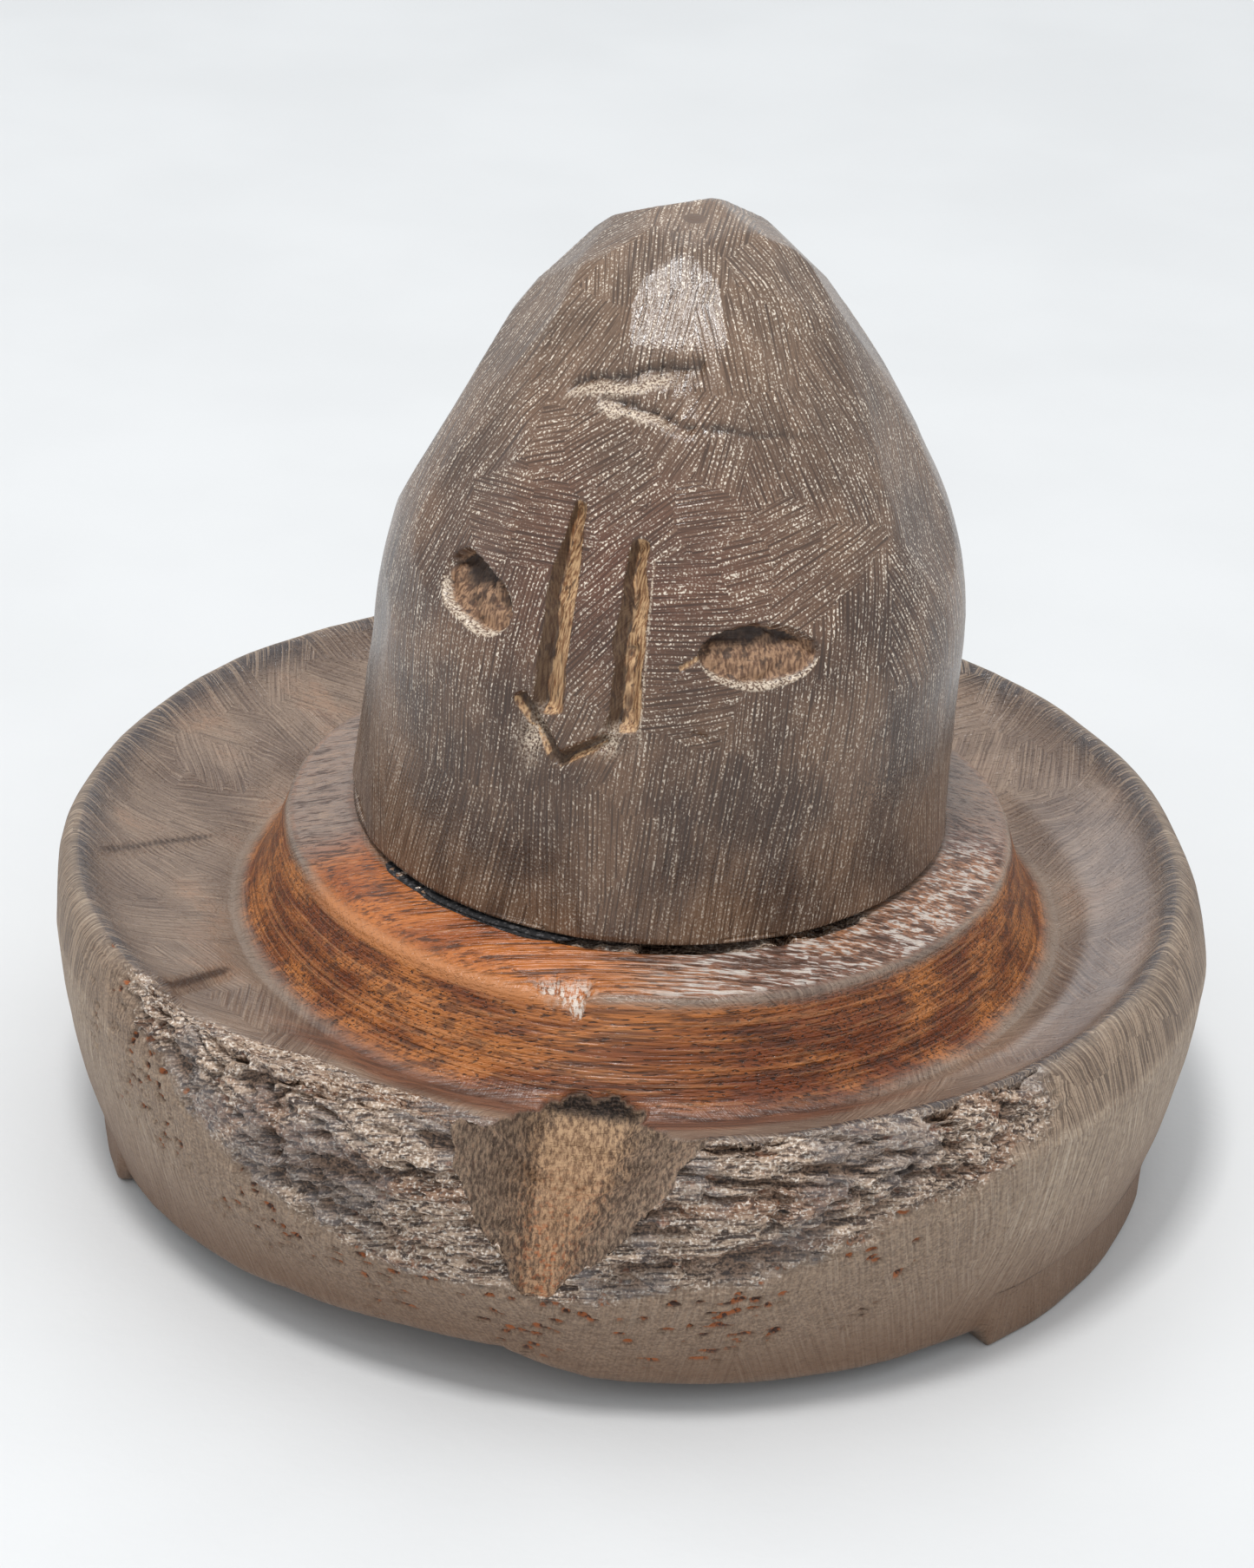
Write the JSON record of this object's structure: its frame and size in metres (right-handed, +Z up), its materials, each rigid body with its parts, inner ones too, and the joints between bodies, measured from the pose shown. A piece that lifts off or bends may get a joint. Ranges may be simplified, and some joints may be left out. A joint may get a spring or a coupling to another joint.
{
  "type": "carved wooden lingam on a round base",
  "caption": "Dome-shaped wooden head with a simple carved face, turning on a peg in a round base with a collar, a trough, a dished rim and a drain notch.",
  "frame": {"origin": "on the surface that it stands on, under the middle of the base", "axes": "+Z up along the head's turning axis; -Y is the front, with the drain notch five degrees to the left of it"},
  "size_m": [0.158, 0.1579, 0.1365],
  "materials": {
    "base_wood": "old oiled hardwood, weathered at the front",
    "head_wood": "rasped hardwood with a handled sheen",
    "peg_wood": "whittled hardwood",
    "tarred_strip": "dusty black"
  },
  "bodies": {
    "stand": {"base": "base_wood", "packing_strip": "tarred_strip"},
    "peg": {"peg": "peg_wood"},
    "head": {"head": "head_wood"}
  },
  "joints": [
    {"name": "head_turn", "type": "hinge", "parent": "stand", "child": "peg", "pos_m": [0, 0, 0.05], "axis": [0, 0, 1], "continuous": true},
    {"name": "head_lift", "type": "slide", "parent": "peg", "child": "head", "axis": [0, 0, 1], "range_m": [0, 0.02]}
  ]
}
